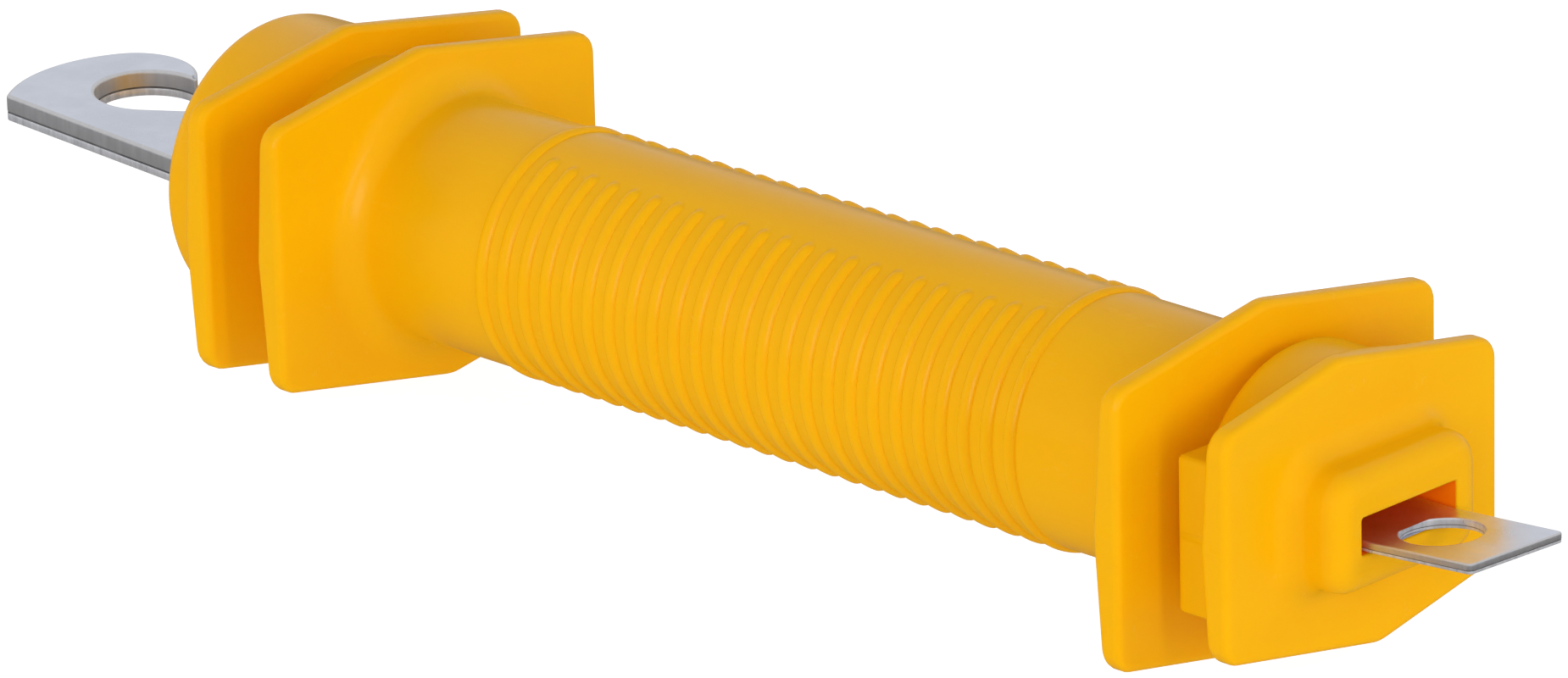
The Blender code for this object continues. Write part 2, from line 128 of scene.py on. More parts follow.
FIRST_RIB_OFFSET = 29.2       # from the grip's hook end to its first rib

COLLAR_R = 16.8
SPIGOT_R = 10.6
SPIGOT_LENGTH = 12.0
COUNTERBORE_R = 8.6
COUNTERBORE_DEPTH = 5.0
COUNTERBORE_SOFT = 0.2
SLOT_HALF = 8.0
SLOT_HEIGHT = 4.5
SLOT_CORNER_R = 0.35
DRUM_LIP = 0.4                # soft lip of the slot in the drum, and in the boss
BOSS_LIP = 0.3
LIP_SUPPORT = 0.3
DRUM_R = 19.2
DRUM_END_R = 19.0
DRUM_EDGE_R = 2.6
DRUM_EDGE_STEPS = 8
BOSS_HALF_Y = 12.3
BOSS_HALF_Z = 7.3
BOSS_CORNER_R = 4.0
BOSS_EDGE_R = 2.7
BOSS_EDGE_STEPS = 5
BOSS_FILLET = 3.0
BOSS_FILLET_STEPS = 7
BOSS_SUPPORT = 0.2
KEY_HALF_Z = 9.4
KEY_OUTER_Y = 20.9
KEY_CORNER_R = 0.6
KEY_INSET = 7.1               # from the small flange's middle to the blocks' inner faces
KEY_EDGE = ((0.9, 0.0), (0.6, 0.0), (0.3, 0.08), (0.08, 0.3), (0.0, 0.6))  # inset, depth
KEY_ROOT = ((0.0, 0.3), (0.05, 0.05), (0.12, 0.0))    # growth, distance from the flange
KEY_NIB_START = 1.0
KEY_CORNER_MARGIN = 0.15      # left between a block and the soft edge of the flange beside it
EDGE_LEAST = 0.1              # but the edge keeps at least this radius
COLLAR_SHORT_CORNER = 0.45

BAR_HALF = 7.2
BAR_TAIL = 2.8                # steel beyond the notches
BAR_STEP = 2.5                # shortest step when a straight side of a bar is divided
NOTCH_DEPTH = 1.8
NOTCH_LENGTH = 2.0
TORN_SHARE = 0.33             # part of a sheared edge's height below the line where the sheet tore
GROOVE_HALF = 0.04            # half width and depth of that line, as shares of the thickness
GROOVE_DEPTH = 0.03
SHEET_FOOT = ((0.0, 0.25), (0.0, 0.08), (0.06, 0.02))     # level, inset of the lower edge
LOWER_BAND_INSET = 0.03
SHEET_SUPPORT = 0.18
EYE_THICK = 1.2
EYE_ROLL = 0.2                # how far the upper edge is rolled over by the shears
EYE_TILT = math.radians(4.4)
EYE_HOLE_R = 4.8
EYE_HOLE_STEPS = 72
EYE_HOLE_FROM_BOSS = 4.7
EYE_END_SKEW = 1.3            # the bar's end is cut a little out of square
EYE_CORNER_R = 0.7
HOOK_THICK = 3.3
HOOK_ROLL = 0.42
HOOK_TILT = math.radians(2.5)
HOOK_FAR_Y = 9.2              # the hook's far edge, beyond the throat
HOOK_BACK_R = 18.8            # outside of the hook: its wide back, then its arm
HOOK_BACK_Y = -1.7
HOOK_ARM_R = 7.9
HOOK_ARM_START = math.radians(151)
HOOK_ARM_END = math.radians(46)
THROAT_CENTRE = (-105.4, 1.0)
THROAT_R = 6.8
THROAT_START = math.radians(84)
THROAT_END = math.radians(310)
TIP_PULL = 1.1                # how blunt the hook's tip is
SHOULDER_LEDGE = 0.4
SHOULDER_R = 0.9
LIP_R = 4.0

RETAINER_THICK = 1.5
RETAINER_R = 10.6
THRUST_THICK = 1.0
THRUST_R = 10.5
THIN_SOFT = 0.12              # softened edges of the retainers and washers
THIN_SUPPORT = 0.15
WINDOW_CORNER_R = 0.3
WIRE_R = 0.9
WIRE_SIDES = 12
COIL_R = 9.3
COIL_TURNS = 13
COIL_STEPS = 40               # points per turn
CLOSED_PITCH = 1.95           # of the first and the last turn

HOOK_CAP_FLANGE = 15.0        # from the drum's end to the middle of that cap's flange
EYE_CAP_FLANGE = 9.0          # from the boss's face to the middle of that cap's flange

# Places that follow from the CAD frame
grip_low, grip_high = extent("grip_body")
hook_cap_low, _ = extent("hook_end_cap")
_, eye_cap_high = extent("eye_end_cap")
hook_low, hook_high = extent("hook_bar")
eye_low, eye_high = extent("eye_bar")
spring_low, spring_high = extent("compression_spring")
HOOK_INNER_X = grip_low[0] + NECK_LENGTH + PLATE_HALF
EYE_INNER_X = grip_high[0] - NECK_LENGTH - PLATE_HALF
DRUM_END_X = hook_cap_low[0]
BOSS_FACE_X = eye_cap_high[0]
HOOK_OUTER_X = DRUM_END_X + HOOK_CAP_FLANGE
EYE_OUTER_X = BOSS_FACE_X - EYE_CAP_FLANGE
EYE_BOTTOM = eye_low[2]
HOOK_BOTTOM = hook_low[2]
EYE_LEVELS = (EYE_BOTTOM, EYE_BOTTOM + EYE_THICK)
HOOK_LEVELS = (HOOK_BOTTOM, HOOK_BOTTOM + HOOK_THICK)


# ---------------------------------------------------------------- materials
class Nodes:
    """Short helpers round one material's node tree."""

    def __init__(self, name):
        self.material = bpy.data.materials.new(name)
        self.material.use_nodes = True
        self.tree = self.material.node_tree
        self.shader = self.tree.nodes["Principled BSDF"]
        self.place = self.add("ShaderNodeTexCoord").outputs["Object"]

    def add(self, kind, **settings):
        node = self.tree.nodes.new(kind)
        for key, value in settings.items():
            if key in node.inputs:
                node.inputs[key].default_value = value
            else:
                setattr(node, key, value)
        return node

    def link(self, source, target):
        self.tree.links.new(source, target)

    def feed(self, socket, value):
        if isinstance(value, (int, float, tuple)):
            socket.default_value = value
        else:
            self.link(value, socket)

    def stretched(self, x=1.0, y=1.0, z=1.0):
        node = self.add("ShaderNodeMapping")
        node.inputs["Scale"].default_value = (x, y, z)
        self.link(self.place, node.inputs["Vector"])
        return node.outputs["Vector"]

    def noise(self, scale, detail=3.0, roughness=0.55, vector=None):
        node = self.add("ShaderNodeTexNoise", Scale=scale, Detail=detail, Roughness=roughness)
        self.link(vector or self.place, node.inputs["Vector"])
        return node.outputs["Fac"]

    def ramp(self, value, low, high, start, end):
        node = self.add("ShaderNodeMapRange")
        self.link(value, node.inputs["Value"])
        node.inputs["From Min"].default_value = low
        node.inputs["From Max"].default_value = high
        node.inputs["To Min"].default_value = start
        node.inputs["To Max"].default_value = end
        return node.outputs["Result"]

    def mix(self, share, first, second):
        node = self.add("ShaderNodeMix", data_type="RGBA")
        self.feed(node.inputs["Factor"], share)
        self.feed(node.inputs[6], first)
        self.feed(node.inputs[7], second)
        return node.outputs[2]

    def two_tone(self, pattern, spread, first, second):
        """A colour that goes from first to second across the middle of a pattern."""
        share = self.ramp(pattern, 0.5 - spread, 0.5 + spread, 0.0, 1.0)
        return self.mix(share, first + (1,), second + (1,))

    def uneven(self, pattern, start, end):
        """A value that follows a pattern between two levels."""
        return self.ramp(pattern, 0.3, 0.7, start, end)

    def maths(self, operation, first, second=0.0):
        node = self.add("ShaderNodeMath", operation=operation)
        self.feed(node.inputs[0], first)
        self.feed(node.inputs[1], second)
        return node.outputs[0]

    def bump(self, height, distance, strength=1.0, normal=None):
        node = self.add("ShaderNodeBump", Distance=distance, Strength=strength)
        self.link(height, node.inputs["Height"])
        if normal is not None:
            self.link(normal, node.inputs["Normal"])
        return node.outputs["Normal"]

    def finish(self, **sockets):
        for key, value in sockets.items():
            self.feed(self.shader.inputs[key.replace("_", " ")], value)
        return self.material


def yellow_plastic():
    """Semi-gloss moulded plastic: faint flow marks, a fine eggshell surface and a little glow."""
    n = Nodes("yellow_plastic")
    flow = n.noise(55.0, 4.0, 0.6, n.stretched(0.5, 1.0, 1.0))
    fine = n.noise(1500.0, 2.0)
    broad = n.noise(130.0, 3.0)
    smear = n.noise(240.0, 4.0, 0.7, n.stretched(0.25, 1.0, 1.0))
    return n.finish(Base_Color=n.two_tone(flow, 0.2, (0.945, 0.475, 0.002), (0.925, 0.450, 0.001)),
                    Roughness=n.uneven(smear, 0.20, 0.28), IOR=1.5, Specular_IOR_Level=0.10,
                    Subsurface_Weight=0.22, Subsurface_Radius=(1.0, 0.40, 0.05),
                    Subsurface_Scale=0.001,
                    Normal=n.bump(broad, 0.0002, 0.06, n.bump(fine, 0.00003, 0.12)))


def slot_painted_shade():
    """Plastic round the bars, lit only through itself: a deep orange painted as shade, with a faint
    painted red glow.
    """
    n = Nodes("slot_painted_shade")
    # painted shade: a much deeper orange than the plastic stands in for the dim light inside the
    # slot
    colour = n.two_tone(n.noise(130.0), 0.2, (0.95, 0.22, 0.001), (0.92, 0.19, 0.001))
    # painted glow: the faint red emission makes the slot glow though no lamp is there
    return n.finish(Base_Color=colour, Roughness=0.35, Specular_IOR_Level=0.1,
                    Emission_Color=(1.0, 0.08, 0.0, 1), Emission_Strength=0.08)


def zinc_face():
    """Rolled, zinc-plated sheet: cloudy plating over faint lengthways rolling lines."""
    n = Nodes("zinc_plated_face")
    lines = n.noise(420.0, 5.0, 0.6, n.stretched(0.06, 1.0, 1.0))
    cloud = n.noise(170.0, 4.0, 0.6)
    rough = n.maths("ADD", n.uneven(cloud, 0.27, 0.35), n.uneven(lines, -0.03, 0.04))
    return n.finish(Base_Color=n.two_tone(cloud, 0.15, (0.68, 0.72, 0.82), (0.76, 0.80, 0.90)),
                    Metallic=1.0, Roughness=rough,
                    Normal=n.bump(cloud, 0.0001, 0.08, n.bump(lines, 0.00003, 0.15)))


def sheared_edge():
    """The cut edge of the plated bar: shear streaks square to the sheet, greyer than the face."""
    n = Nodes("sheared_edge")
    streak = n.noise(1400.0, 4.0, 0.65, n.stretched(1.0, 1.0, 0.12))
    grain = n.noise(2600.0, 3.0, 0.6)
    return n.finish(Base_Color=n.two_tone(streak, 0.2, (0.66, 0.66, 0.675), (0.74, 0.74, 0.755)),
                    Metallic=1.0, Roughness=n.uneven(streak, 0.40, 0.50),
                    Normal=n.bump(grain, 0.00003, 0.3, n.bump(streak, 0.00006, 0.25)))


def bright_edge():
    """Burnished metal: the wall of the punched hole and the lower band of a cut edge."""
    n = Nodes("bright_edge")
    streak = n.noise(1200.0, 4.0, 0.6, n.stretched(1.0, 1.0, 0.15))
    return n.finish(Base_Color=n.two_tone(streak, 0.2, (0.55, 0.56, 0.60), (0.80, 0.81, 0.85)),
                    Metallic=0.55, Roughness=n.uneven(streak, 0.26, 0.38),
                    Normal=n.bump(streak, 0.00004, 0.3))


def torn_edge_painted_shade():
    """The line along a cut edge where the sheet stopped shearing and broke; its near-black colour
    is partly painted shade of the groove along it.
    """
    n = Nodes("torn_edge_painted_shade")
    grain = n.noise(1500.0, 5.0, 0.7)
    patch = n.noise(350.0, 3.0, 0.6)
    # painted shade: the near-black grey stands in for the shade in the groove at the tear line
    return n.finish(Base_Color=n.two_tone(patch, 0.15, (0.16, 0.16, 0.165), (0.28, 0.28, 0.29)),
                    Metallic=1.0, Roughness=n.uneven(grain, 0.42, 0.6),
                    Normal=n.bump(grain, 0.00015, 0.6))


def spring_steel():
    """Drawn spring wire with a thin film of oil."""
    n = Nodes("spring_steel")
    film = n.noise(300.0, 3.0)
    return n.finish(Base_Color=n.two_tone(film, 0.15, (0.30, 0.30, 0.31), (0.42, 0.41, 0.40)),
                    Metallic=1.0, Roughness=n.uneven(film, 0.24, 0.36),
                    Normal=n.bump(n.noise(3000.0, 2.0), 0.00003, 0.4))


YELLOW = yellow_plastic()
SLOT_PAINTED_SHADE = slot_painted_shade()
ZINC = zinc_face()
SHEARED = sheared_edge()
TORN_PAINTED_SHADE = torn_edge_painted_shade()
BRIGHT = bright_edge()
SPRING = spring_steel()
BAR_MATERIALS = (ZINC, SHEARED, TORN_PAINTED_SHADE, BRIGHT)
FACE_SLOT, SHEARED_SLOT, TORN_SHADE_SLOT, BRIGHT_SLOT = range(4)


# ---------------------------------------------------------------- mesh helpers
def put_in_scene(name, data):
    made = bpy.data.objects.new(name, data)
    bpy.context.scene.collection.objects.link(made)
    return made


def shaded(name, mesh, sharp):
    """An object from a mesh, smooth except along edges sharper than this many degrees."""
    mesh.shade_smooth()
    mesh.set_sharp_from_angle(angle=math.radians(sharp))
    return put_in_scene(name, mesh)


def make_piece(name, points, faces, materials, face_materials=None, sharp=40.0):
    """A smooth-shaded mesh object from points in millimetres."""
    mesh = bpy.data.meshes.new(name)
    mesh.from_pydata((np.asarray(points, float) * MM).tolist(), [], faces)
    for material in materials:
        mesh.materials.append(material)
    if face_materials is not None:
        mesh.polygons.foreach_set("material_index", face_materials)
    bm = bmesh.new()
    bm.from_mesh(mesh)
    bmesh.ops.remove_doubles(bm, verts=bm.verts, dist=WELD * MM)
    bmesh.ops.recalc_face_normals(bm, faces=bm.faces)
    bm.to_mesh(mesh)
    bm.free()
    return shaded(name, mesh, sharp)


class Rim:
    """A convex outline with rounded corners round the X axis, anticlockwise in (y, z)."""

    def __init__(self, corners, radii):
        self.edges = []
        self.arcs = []
        points = [Vector(c) for c in corners]
        for a, b in zip(points[-1:] + points[:-1], points):
            along = (b - a).normalized()
            normal = Vector((along.y, -along.x))
            self.edges.append((normal, normal.dot(a), along))
        following = self.edges[1:] + self.edges[:1]
        for corner, radius, edge, after in zip(points, radii, self.edges, following):
            incoming, outgoing = edge[2], after[2]
            bisector = (outgoing - incoming).normalized()
            half = (-incoming).angle(outgoing) / 2
            self.arcs.append((corner + bisector * (radius / math.sin(half)), radius,
                              incoming, outgoing))

    def reach(self, angle, inset=0.0):
        """Distance from the axis to the outline in this direction, with the outline drawn in."""
        ray = Vector((math.cos(angle), math.sin(angle)))
        r = min((h - inset) / n.dot(ray) for n, h, _ in self.edges if n.dot(ray) > 1e-9)
        p = ray * r
        for centre, radius, incoming, outgoing in self.arcs:
            d = p - centre
            if radius > inset and d.dot(incoming) > 0 and d.dot(outgoing) < 0:
                along = ray.dot(centre)
                root = along * along - centre.length_squared + (radius - inset) ** 2
                return along + math.sqrt(max(root, 0.0))
        return r

    def key_angles(self, steps=6):
        """Directions in which the outline needs a point: the corner arcs."""
        found = []
        for centre, radius, incoming, outgoing in self.arcs:
            start = Vector((incoming.y, -incoming.x))
            end = Vector((outgoing.y, -outgoing.x))
            for k in range(steps + 1):
                way = start.lerp(end, k / steps).normalized()
                p = centre + way * radius
                found.append(math.atan2(p.y, p.x) % math.tau)
        return found


def angle_set(count, *groups):
    """Even steps round the axis plus the key angles, without near-doubles."""
    keys = sorted({round(a % math.tau, 7) for group in groups for a in group})
    kept = []
    for a in keys:
        if not kept or a - kept[-1] > LEAST_ANGLE:
            kept.append(a)
    spacing = math.tau / count
    for i in range(count):
        a = i * spacing
        nearest = min(abs((a - k + math.pi) % math.tau - math.pi) for k in keys)
        if nearest > spacing * CLEAR_SHARE:
            kept.append(a)
    return np.array(sorted(kept))


def plate_rim(half_width, left, apex, right):
    """A flange's outline: right corner, apex and left corner, then the same turned half round."""
    corners = [(half_width, right), apex, (-half_width, left)]
    corners += [(-y, -z) for y, z in corners]
    return Rim(corners, [CORNER_R, APEX_R, CORNER_R] * 2)


def rectangle_rim(half_y, low_z, high_z, radius):
    corners = [(half_y, low_z), (half_y, high_z), (-half_y, high_z), (-half_y, low_z)]
    return Rim(corners, [radius] * 4)


def round_steps(steps, backwards=False):
    """(1 - sin, 1 - cos) of equal turns through a quarter circle, for rounded edges and fillets."""
    turns = [math.pi / 2 * k / steps for k in range(steps + 1)]
    pairs = [(1 - math.sin(turn), 1 - math.cos(turn)) for turn in turns]
    return pairs[::-1] if backwards else pairs


class Moulding:
    """A closed body made of rings round the X axis; every ring has one point per angle."""

    def __init__(self, angles):
        self.angles = angles
        self.sin = np.sin(angles)
        self.cos = np.cos(angles)
        self.rings = []
        self.painted_shade_start = None    # the first ring of the faces that take the second material, the slot's painted shade

    def ring(self, x, r):
        r = np.broadcast_to(np.asarray(r, float), self.angles.shape)
        x = np.broadcast_to(np.asarray(x, float), self.angles.shape)
        self.rings.append(np.stack([x, r * self.cos, r * self.sin], axis=1))

    def several(self, pairs):
        """Rings from (x, r) pairs."""
        for x, r in pairs:
            self.ring(x, r)

    def face_x(self, middle, side, r):
        """X of a flange face at radius r: drafted towards the hook, flat towards the eye."""
        draft = DRAFT * np.abs(r * self.sin) if side < 0 else 0.0
        return middle + side * (PLATE_HALF - draft)

    def on_face(self, middle, side, r, off=0.0):
        """A ring on a flange face, or a little off it."""
        self.ring(self.face_x(middle, side, r) + side * off, r)

    def outline(self, rim, inset=0.0):
        insets = np.broadcast_to(inset, self.angles.shape)
        return np.array([rim.reach(a, i) for a, i in zip(self.angles, insets)])

    def spread(self, middle, side, inner, outer, steps=4):
        """Rings across a flange face from one radius to another, both left out."""
        for k in range(1, steps):
            self.on_face(middle, side, inner + (outer - inner) * k / steps)

    def rim_edge(self, middle, side, rim, edge, going_out):
        """A rounded rim edge; going_out runs from the face to the rim."""
        for inset, drop in round_steps(EDGE_STEPS, not going_out):
            r = self.outline(rim, edge * inset)
            self.ring(self.face_x(middle, side, r) - side * edge * drop, r)

    def soft_corner(self, x, inwards, radius, length=CORNER_SOFT):
        """The outer corner at the end of a neck or collar, from its end face along its side."""
        self.several([(x, radius - CORNER_SOFT),
                      (x + inwards * CORNER_MIDDLE, radius - CORNER_MIDDLE),
                      (x + inwards * length, radius)])

    def root(self, middle, side, radius, size, from_face=False):
        """The small fillet between a neck and a flange face, from the neck or from the face."""
        steps = [(size, 0.0), (size / 4, size / 4), (0.0, size)]
        for off, grow in steps[::-1] if from_face else steps:
            self.on_face(middle, side, radius + grow, off)

    def build(self, name, materials):
        n, m = len(self.angles), len(self.rings)
        faces = []
        for i in range(m):
            a, b = i * n, ((i + 1) % m) * n
            for j in range(n):
                k = (j + 1) % n
                faces.append((a + j, a + k, b + k, b + j))
        slots = None
        if self.painted_shade_start is not None:
            slots = [int(i >= self.painted_shade_start) for i in range(m) for _ in range(n)]
        return make_piece(name, np.concatenate(self.rings), faces, materials, slots)


def nib(moulding):
    """Extra radius at mid height: a small flash line on each side of a rim."""
    off = np.minimum(np.abs(moulding.angles), np.abs(moulding.angles - math.pi))
    off = np.minimum(off, np.abs(moulding.angles - math.tau))
    return NIB_HEIGHT * (off < NIB_HALF)


def rim_middle(body, middle, side, rim):
    """The ring half way across a rim, between the rounded edges; the last ring starts the rim."""
    r = body.outline(rim)
    start = body.rings[-1][:, 0]
    end = body.face_x(middle, side, r) - side * EDGE_R
    body.ring((start + end) / 2, r + nib(body))


def flange_rings(body, middle, side, rim, inner, other_inner):
    """Both faces and the rim of a flange, from the face on -side to the face on +side."""
    support = body.outline(rim, EDGE_R + SUPPORT)
    body.spread(middle, -side, inner, support)
    body.on_face(middle, -side, support)
    body.rim_edge(middle, -side, rim, EDGE_R, True)
    rim_middle(body, middle, side, rim)
    body.rim_edge(middle, side, rim, EDGE_R, False)
    body.on_face(middle, side, support)
    body.spread(middle, side, support, other_inner)


# ---------------------------------------------------------------- the three mouldings
def rib_heights(x, angles, first, last):
    """How far the grip stands out at this place: rings whose ends taper off as rounded tips."""
    nearest = int(np.clip(round((x - first) / RIB_PITCH), 0, RIB_COUNT - 1))
    dx = x - (first + nearest * RIB_PITCH)
    from_top = np.arccos(np.clip(np.abs(np.sin(angles)), 0, 1))
    middle = (first + last) / 2
    share = abs(x - middle) / (last - middle)
    strip = math.radians(STRIP_MIDDLE - STRIP_LOSS * min(share, 1.0) ** STRIP_POWER)
    if nearest in (0, RIB_COUNT - 1):
        beyond = np.zeros_like(angles)
    else:
        beyond = np.maximum(0.0, strip + RIB_HALF / GRIP_R - from_top) * GRIP_R
    q = np.sqrt(dx * dx + (beyond * RIB_TIP) ** 2) / RIB_HALF
    return RIB_HEIGHT * np.clip(1 - q * q, 0, 1) ** RIB_ROUNDING


def grip_end(angles, rim, x, middle, inwards):
    """Rings of one end of the grip, from the bore round the neck and the flange to the tube."""
    end = Moulding(angles)
    end.several([(x + inwards * BORE_SOFT, BORE_R), (x, BORE_R + BORE_SOFT)])
    end.soft_corner(x, inwards, NECK_R)
    end.root(middle, -inwards, NECK_R, ROOT)
    flange_rings(end, middle, inwards, rim, NECK_R + ROOT, GRIP_R + FILLET)
    for out, rise in round_steps(FILLET_STEPS):
        end.on_face(middle, inwards, GRIP_R + FILLET * out, FILLET * rise)
    return end.rings


def grip():
    rim = plate_rim(**LARGE_PLATE)
    body = Moulding(angle_set(GRIP_POINTS, rim.key_angles(), NIB_ANGLES))
    first = grip_low[0] + FIRST_RIB_OFFSET
    last = first + RIB_PITCH * (RIB_COUNT - 1)
    body.rings += grip_end(body.angles, rim, grip_low[0], HOOK_INNER_X, 1)
    for x in np.linspace(HOOK_INNER_X + TUBE_INSET, first - RIB_PITCH / 2, 6)[:-1]:
        body.ring(x, GRIP_R)
    across = [share * RIB_HALF for share in RIB_RINGS]
    across += [-dx for dx in across[-2::-1]]
    for i in range(RIB_COUNT):
        for dx in [-RIB_PITCH / 2] + across:
            x = first + RIB_PITCH * i + dx
            body.ring(x, GRIP_R + rib_heights(x, body.angles, first, last))
    for x in np.linspace(last + RIB_PITCH / 2, EYE_INNER_X - TUBE_INSET, 4):
        body.ring(x, GRIP_R)
    body.rings += grip_end(body.angles, rim, grip_high[0], EYE_INNER_X, -1)[::-1]
    return body.build("grip_moulding", [YELLOW])


def slot_rim(bottom):
    """The slot round a bar whose underside is at this height."""
    return rectangle_rim(SLOT_HALF, bottom - GAP, bottom - GAP + SLOT_HEIGHT, SLOT_CORNER_R)


def cap_plug(body, face, inwards, slot_r, collar_corner=CORNER_SOFT):
    """The plug in the grip and the corner of the collar, from the counterbore outwards."""
    end = face + inwards * SPIGOT_LENGTH
    bore = np.maximum(COUNTERBORE_R, slot_r)
    body.several([(end - inwards * COUNTERBORE_SOFT, bore), (end, bore + COUNTERBORE_SOFT),
                  (end, SPIGOT_R - ROOT), (end - inwards * ROOT, SPIGOT_R), (face, SPIGOT_R)])
    body.soft_corner(face, -inwards, COLLAR_R, collar_corner)


def cap_slot(body, slot, slot_r, mouth_x, lip, face, inwards):
    """The soft lip of the slot, its walls and the floor of the counterbore."""
    for out, drop in round_steps(3):
        body.ring(mouth_x + inwards * lip * drop, body.outline(slot, -lip * out))
    # from here on the faces take the slot's painted shade
    body.painted_shade_start = len(body.rings) - 1
    floor = face + inwards * (SPIGOT_LENGTH - COUNTERBORE_DEPTH)
    body.several([((mouth_x + floor) / 2, slot_r), (floor, slot_r),
                  (floor, np.maximum(COUNTERBORE_R, slot_r))])


def hook_cap():
    rim = plate_rim(**LARGE_PLATE)
    slot = slot_rim(HOOK_BOTTOM)
    body = Moulding(angle_set(CAP_POINTS, rim.key_angles(), slot.key_angles(4), NIB_ANGLES))
    face = grip_low[0] - GAP
    slot_r = body.outline(slot)
    cap_plug(body, face, 1, slot_r)
    body.root(HOOK_OUTER_X, 1, COLLAR_R, COLLAR_ROOT)
    flange_rings(body, HOOK_OUTER_X, -1, rim, COLLAR_R + COLLAR_ROOT, DRUM_R + ROOT)
    body.root(HOOK_OUTER_X, -1, DRUM_R, ROOT, from_face=True)
    for back, drop in round_steps(DRUM_EDGE_STEPS):
        body.ring(DRUM_END_X + DRUM_EDGE_R * back, DRUM_END_R - DRUM_EDGE_R * drop)
    support = DRUM_END_R - DRUM_EDGE_R - SUPPORT
    mouth = body.outline(slot, -(DRUM_LIP + LIP_SUPPORT))
    for share in (0.0, 0.33, 0.66, 1.0):
        body.ring(DRUM_END_X, support * (1 - share) + mouth * share)
    cap_slot(body, slot, slot_r, DRUM_END_X, DRUM_LIP, face, 1)
    return body.build("hook_end_moulding", [YELLOW, SLOT_PAINTED_SHADE])


def eye_cap():
    rim = plate_rim(**SMALL_PLATE)
    slot = slot_rim(EYE_BOTTOM)
    boss = rectangle_rim(BOSS_HALF_Y, -BOSS_HALF_Z, BOSS_HALF_Z, BOSS_CORNER_R)
    key = rectangle_rim(KEY_OUTER_Y, -KEY_HALF_Z, KEY_HALF_Z, KEY_CORNER_R)
    cross = math.asin(KEY_HALF_Z / COLLAR_R)
    cross_angles = [cross, math.pi - cross, math.pi + cross, math.tau - cross]
    body = Moulding(angle_set(CAP_POINTS, rim.key_angles(), slot.key_angles(4), boss.key_angles(5),
                              key.key_angles(3), cross_angles, NIB_ANGLES))
    x, face = EYE_OUTER_X, grip_high[0] + GAP
    slot_r = body.outline(slot)
    cap_plug(body, face, -1, slot_r, COLLAR_SHORT_CORNER)
    # collar and side blocks
    key_x = x - KEY_INSET
    body.ring(key_x, COLLAR_R)
    for inset, dx in KEY_EDGE:
        body.ring(key_x + dx, np.maximum(COLLAR_R, body.outline(key, inset)))
    key_r = np.maximum(COLLAR_R, body.outline(key)) + nib(body)
    body.ring(key_x + KEY_NIB_START, key_r)
    for grow, off in KEY_ROOT:
        body.ring(body.face_x(x, -1, key_r + grow) - off, key_r + grow)
    # flange
    back_edge = np.clip(body.outline(rim) - key_r - KEY_CORNER_MARGIN, EDGE_LEAST, EDGE_R)
    body.rim_edge(x, -1, rim, back_edge, True)
    rim_middle(body, x, 1, rim)
    body.rim_edge(x, 1, rim, EDGE_R, False)
    support = body.outline(rim, EDGE_R + SUPPORT)
    body.on_face(x, 1, support)
    body.spread(x, 1, support, body.outline(boss, -BOSS_FILLET))
    # boss with the slot
    for out, rise in round_steps(BOSS_FILLET_STEPS):
        body.on_face(x, 1, body.outline(boss, -BOSS_FILLET * out), BOSS_FILLET * rise)
    for back, inset in round_steps(BOSS_EDGE_STEPS):
        body.ring(BOSS_FACE_X - BOSS_EDGE_R * back, body.outline(boss, BOSS_EDGE_R * inset))
    inner = body.outline(boss, BOSS_EDGE_R + BOSS_SUPPORT)
    mouth = body.outline(slot, -(BOSS_LIP + LIP_SUPPORT))
    body.several([(BOSS_FACE_X, inner), (BOSS_FACE_X, (inner + mouth) / 2), (BOSS_FACE_X, mouth)])
    cap_slot(body, slot, slot_r, BOSS_FACE_X, BOSS_LIP, face, -1)
    return body.build("eye_end_moulding", [YELLOW, SLOT_PAINTED_SHADE])


# ---------------------------------------------------------------- flat bars
def arc(centre, radius, start, end, steps):
    angles = (start + (end - start) * i / steps for i in range(steps + 1))
    return [(centre[0] + radius * math.cos(a), centre[1] + radius * math.sin(a)) for a in angles]


def round_corner(before, corner, after, radius, steps):
    """Points of an arc that rounds the corner between two straight sides."""
    c = Vector(corner)
    a, b = (Vector(before) - c).normalized(), (Vector(after) - c).normalized()
    half = a.angle(b) / 2
    reach = radius / math.tan(half)
    centre = c + (a + b).normalized() * (radius / math.sin(half))
    first = c + a * reach - centre
    sweep = first.angle_signed(c + b * reach - centre)
    points = []
    for i in range(steps + 1):
        turn = -sweep * i / steps
        points.append((centre.x + first.x * math.cos(turn) - first.y * math.sin(turn),
                       centre.y + first.x * math.sin(turn) + first.y * math.cos(turn)))
    return points


def nose(coming, leaving, pull, steps):
    """A blunt curve that joins the end of one run of points to the start of the next."""
    a, b = Vector(coming[1]), Vector(leaving[0])
    out = a + (a - Vector(coming[0])).normalized() * pull
    back = b + (b - Vector(leaving[1])).normalized() * pull
    points = []
    for i in range(steps + 1):
        t = i / steps
        u = 1 - t
        p = a * u ** 3 + out * (3 * u * u * t) + back * (3 * u * t * t) + b * t ** 3
        points.append((p.x, p.y))
    return points


def drawn_in(outline, inset):
    """The closed outline moved inwards; the outline runs anticlockwise."""
    p = np.array(outline, float)
    before, after = np.roll(p, 1, axis=0), np.roll(p, -1, axis=0)

    def normals(a, b):
        d = b - a
        d /= np.maximum(np.linalg.norm(d, axis=1, keepdims=True), 1e-9)
        return np.stack([d[:, 1], -d[:, 0]], axis=1)

    n1, n2 = normals(before, p), normals(p, after)
    mitre = (n1 + n2) / np.maximum(1 + (n1 * n2).sum(1, keepdims=True), MITRE_LIMIT)
    return p - mitre * inset


def counter_clockwise(outline):
    p = np.array(outline, float)
    q = np.roll(p, -1, axis=0)
    area = (p[:, 0] * q[:, 1] - q[:, 0] * p[:, 1]).sum()
    return outline if area > 0 else outline[::-1]


